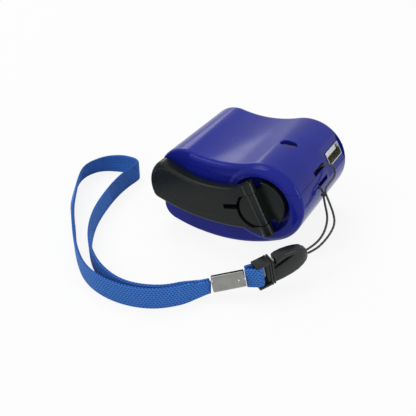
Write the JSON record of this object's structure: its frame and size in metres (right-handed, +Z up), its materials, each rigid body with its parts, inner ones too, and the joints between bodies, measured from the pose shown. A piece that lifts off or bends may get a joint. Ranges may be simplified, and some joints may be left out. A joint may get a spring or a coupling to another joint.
{
  "type": "hand crank phone charger",
  "caption": "Pocket hand crank charger: humped two-shell case, folding crank on a sunken disc, gear train and generator, tilted USB socket, wrist strap on a string and buckle.",
  "frame": {"origin": "centre of the flat under the case that it rests on", "axes": "+X along the crank face towards the crank axis end, +Y from the crank face to the back, +Z up"},
  "size_m": [0.1235, 0.1035, 0.0393],
  "materials": {
    "case_blue": "glossy royal blue ABS",
    "lens_blue": "glossy dark blue window",
    "lamp_clear": "clear epoxy",
    "socket_steel": "plated sheet",
    "tongue_white": "satin white",
    "contact_gold": "gold plated",
    "board_green": "satin green board",
    "screw_steel": "zinc plated",
    "capacitor_dark": "satin sleeve",
    "chip_black": "matte black",
    "motor_steel": "satin plated steel",
    "motor_cap_white": "satin white",
    "magnet_dark": "matte ferrite",
    "gear_brass": "machined",
    "plate_black": "matte black",
    "gear_white": "satin acetal",
    "crank_black": "satin black",
    "bushing_brass": "sintered",
    "string_black": "black braided cord",
    "buckle_black": "satin black",
    "crimp_chrome": "bright nickel",
    "strap_blue": "woven bright blue tape"
  },
  "bodies": {
    "case": {"upper_shell": "case_blue", "lower_shell": "case_blue", "led_lens": "lens_blue", "indicator_led": "lamp_clear", "usb_shell": "socket_steel", "usb_tongue": "tongue_white", "usb_contacts": "contact_gold", "circuit_board": "board_green", "board_screws": "screw_steel", "capacitor": "capacitor_dark", "rectifier": "chip_black", "regulator_chip": "chip_black", "inductor": "chip_black", "motor_can": "motor_steel", "motor_end_cap": "motor_cap_white", "motor_magnets": "magnet_dark", "gear_plate": "plate_black", "plate_screws": "screw_steel", "case_screws": "screw_steel", "gear_axles": "screw_steel", "front_bushing": "bushing_brass", "rear_bushing": "bushing_brass", "string_loop": "string_black", "buckle_housing": "buckle_black"},
    "crank": {"crank_disc": "crank_black", "crank_shaft": "screw_steel", "drive_gear": "gear_white", "retaining_ring": "screw_steel"},
    "arm": {"crank_arm": "crank_black", "hinge_pin": "screw_steel", "knob_pin": "screw_steel"},
    "grip": {"knob": "crank_black"},
    "gear_a": {"compound_gear_a": "gear_white"},
    "gear_b": {"compound_gear_b": "gear_white"},
    "generator_rotor": {"rotor": "motor_steel", "motor_pinion": "gear_brass"},
    "strap_clip": {"buckle_clip": "buckle_black", "crimp_ferrule": "crimp_chrome", "wrist_strap": "strap_blue", "strap_fold": "strap_blue"}
  },
  "joints": [
    {"name": "crank_spin", "type": "hinge", "parent": "case", "child": "crank", "pos_m": [0.023, -0.025, 0.0223], "axis": [0, 1, 0], "continuous": true, "deforming": ["string_loop"]},
    {"name": "gear_a_spin", "type": "hinge", "parent": "case", "child": "gear_a", "pos_m": [0.0064, -0.015, 0.0197], "axis": [0, 1, 0], "continuous": true},
    {"name": "gear_b_spin", "type": "hinge", "parent": "case", "child": "gear_b", "pos_m": [-0.0077, -0.012, 0.0226], "axis": [0, 1, 0], "continuous": true},
    {"name": "rotor_spin", "type": "hinge", "parent": "case", "child": "generator_rotor", "pos_m": [-0.00207, -0.01, 0.012], "axis": [0, 1, 0], "continuous": true},
    {"name": "arm_fold", "type": "hinge", "parent": "crank", "child": "arm", "pos_m": [0.023, -0.0274, 0.0223], "axis": [-0.4695, 0, 0.8829], "range_deg": [0, 180]},
    {"name": "knob_spin", "type": "hinge", "parent": "arm", "child": "grip", "pos_m": [-0.016, -0.0255, 0.021], "axis": [0, 1, 0], "continuous": true},
    {"name": "buckle_slide", "type": "slide", "parent": "case", "child": "strap_clip", "axis": [-0.5489, -0.8138, -0.1908], "range_m": [0, 0.012]}
  ],
  "couplings": [
    {"joint": "gear_a_spin", "follows": "crank_spin", "ratio": -3.6667},
    {"joint": "gear_b_spin", "follows": "crank_spin", "ratio": 11},
    {"joint": "rotor_spin", "follows": "crank_spin", "ratio": -33}
  ]
}
